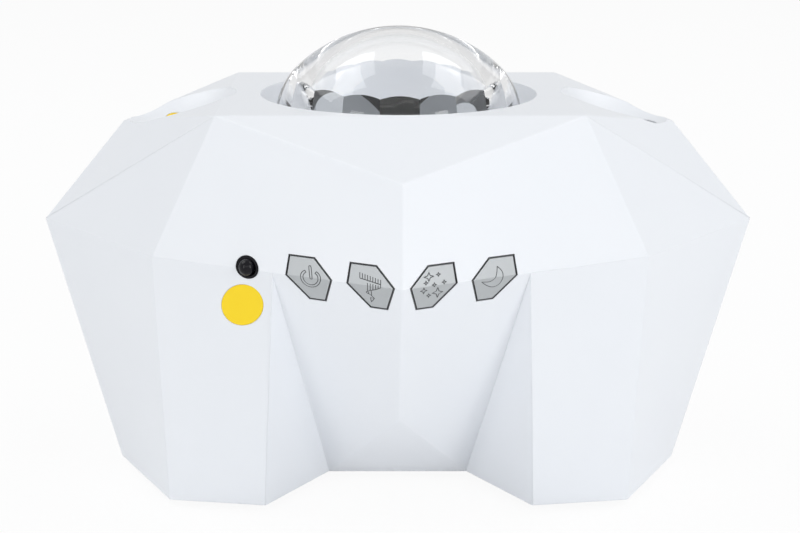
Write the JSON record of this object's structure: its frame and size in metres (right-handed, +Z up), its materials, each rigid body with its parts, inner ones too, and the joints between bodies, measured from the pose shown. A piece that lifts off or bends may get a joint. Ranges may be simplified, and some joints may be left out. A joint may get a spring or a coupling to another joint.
{
  "type": "home planetarium",
  "caption": "Faceted home planetarium with a white split shell, a clear dome over a turning ripple plate, star and moon projectors in side scoops and a row of push buttons.",
  "frame": {"origin": "centre of the bounding box at its base, on the floor plane under the rubber feet", "axes": "+X to the right seen from the front, +Y to the back, +Z up; the buttons face -Y"},
  "size_m": [0.168, 0.129, 0.1075],
  "materials": {
    "shell_white": "satin",
    "clear_dome": "polished",
    "black_plastic": "matt",
    "key_grey": "satin silver",
    "switch_black": "matt",
    "plunger_red": "satin",
    "sensor_black": "gloss",
    "sticker_yellow": "satin",
    "sink_aluminium": "brushed",
    "board_green": "satin",
    "led_resin": "gloss",
    "steel": "satin",
    "gear_ivory": "satin",
    "ripple_clear": "polished",
    "laser_brass": "turned",
    "optic_glass": "polished",
    "slide_film": "satin",
    "chip_black": "satin",
    "foot_rubber": "matt",
    "wire_jacket": "satin"
  },
  "bodies": {
    "housing": {"upper_casing": "shell_white", "lower_casing": "shell_white", "dome": "clear_dome", "light_shroud": "black_plastic", "lamp_can": "black_plastic", "button_frame": "black_plastic", "moon_barrel": "black_plastic", "moon_lens_ring": "black_plastic", "moon_spacer": "black_plastic", "tact_switches": "switch_black", "ir_bezel": "sensor_black", "ir_receiver": "sensor_black", "sensor_sticker": "sticker_yellow", "star_sticker": "sticker_yellow", "heat_sink": "sink_aluminium", "board_capacitors": "sink_aluminium", "led_board": "board_green", "laser_board": "board_green", "moon_led_board": "board_green", "button_board": "board_green", "main_board": "board_green", "aurora_leds": "led_resin", "ripple_axle": "steel", "axle_clip": "steel", "motor": "steel", "power_socket": "steel", "button_board_screws": "steel", "casing_screws": "steel", "can_screws": "steel", "heat_sink_screws": "steel", "motor_screws": "steel", "main_board_screws": "steel", "board_connectors": "gear_ivory", "laser_module": "laser_brass", "star_window": "optic_glass", "star_grating": "optic_glass", "moon_lens": "optic_glass", "moon_condenser": "optic_glass", "moon_slide": "slide_film", "board_chips": "chip_black", "rubber_feet": "foot_rubber", "laser_lead": "wire_jacket", "led_lead": "wire_jacket", "motor_lead": "wire_jacket", "button_lead": "wire_jacket", "moon_lead": "wire_jacket"},
    "ripple": {"ripple_gear": "gear_ivory", "ripple_lens": "ripple_clear"},
    "pinion": {"drive_pinion": "gear_ivory", "motor_shaft": "steel"},
    "stars_key": {"stars_button": "key_grey", "stars_plunger": "plunger_red"},
    "moon_key": {"moon_button": "key_grey", "moon_plunger": "plunger_red"},
    "aurora_key": {"aurora_button": "key_grey", "aurora_plunger": "plunger_red"},
    "power_key": {"power_button": "key_grey", "power_plunger": "plunger_red"}
  },
  "joints": [
    {"name": "ripple_spin", "type": "hinge", "parent": "housing", "child": "ripple", "pos_m": [0, 0, 0.072], "axis": [0, 0, 1], "continuous": true},
    {"name": "pinion_spin", "type": "hinge", "parent": "housing", "child": "pinion", "pos_m": [0, 0.0297, 0.072], "axis": [0, 0, 1], "continuous": true},
    {"name": "stars_press", "type": "slide", "parent": "housing", "child": "stars_key", "axis": [0, 1, 0], "range_m": [0, 0.0006], "stiffness_N_per_m": 1500},
    {"name": "moon_press", "type": "slide", "parent": "housing", "child": "moon_key", "axis": [0, 1, 0], "range_m": [0, 0.0006], "stiffness_N_per_m": 1500},
    {"name": "aurora_press", "type": "slide", "parent": "housing", "child": "aurora_key", "axis": [0, 1, 0], "range_m": [0, 0.0006], "stiffness_N_per_m": 1500},
    {"name": "power_press", "type": "slide", "parent": "housing", "child": "power_key", "axis": [0, 1, 0], "range_m": [0, 0.0006], "stiffness_N_per_m": 1500}
  ],
  "couplings": [
    {"joint": "pinion_spin", "follows": "ripple_spin", "ratio": -4.2857}
  ]
}
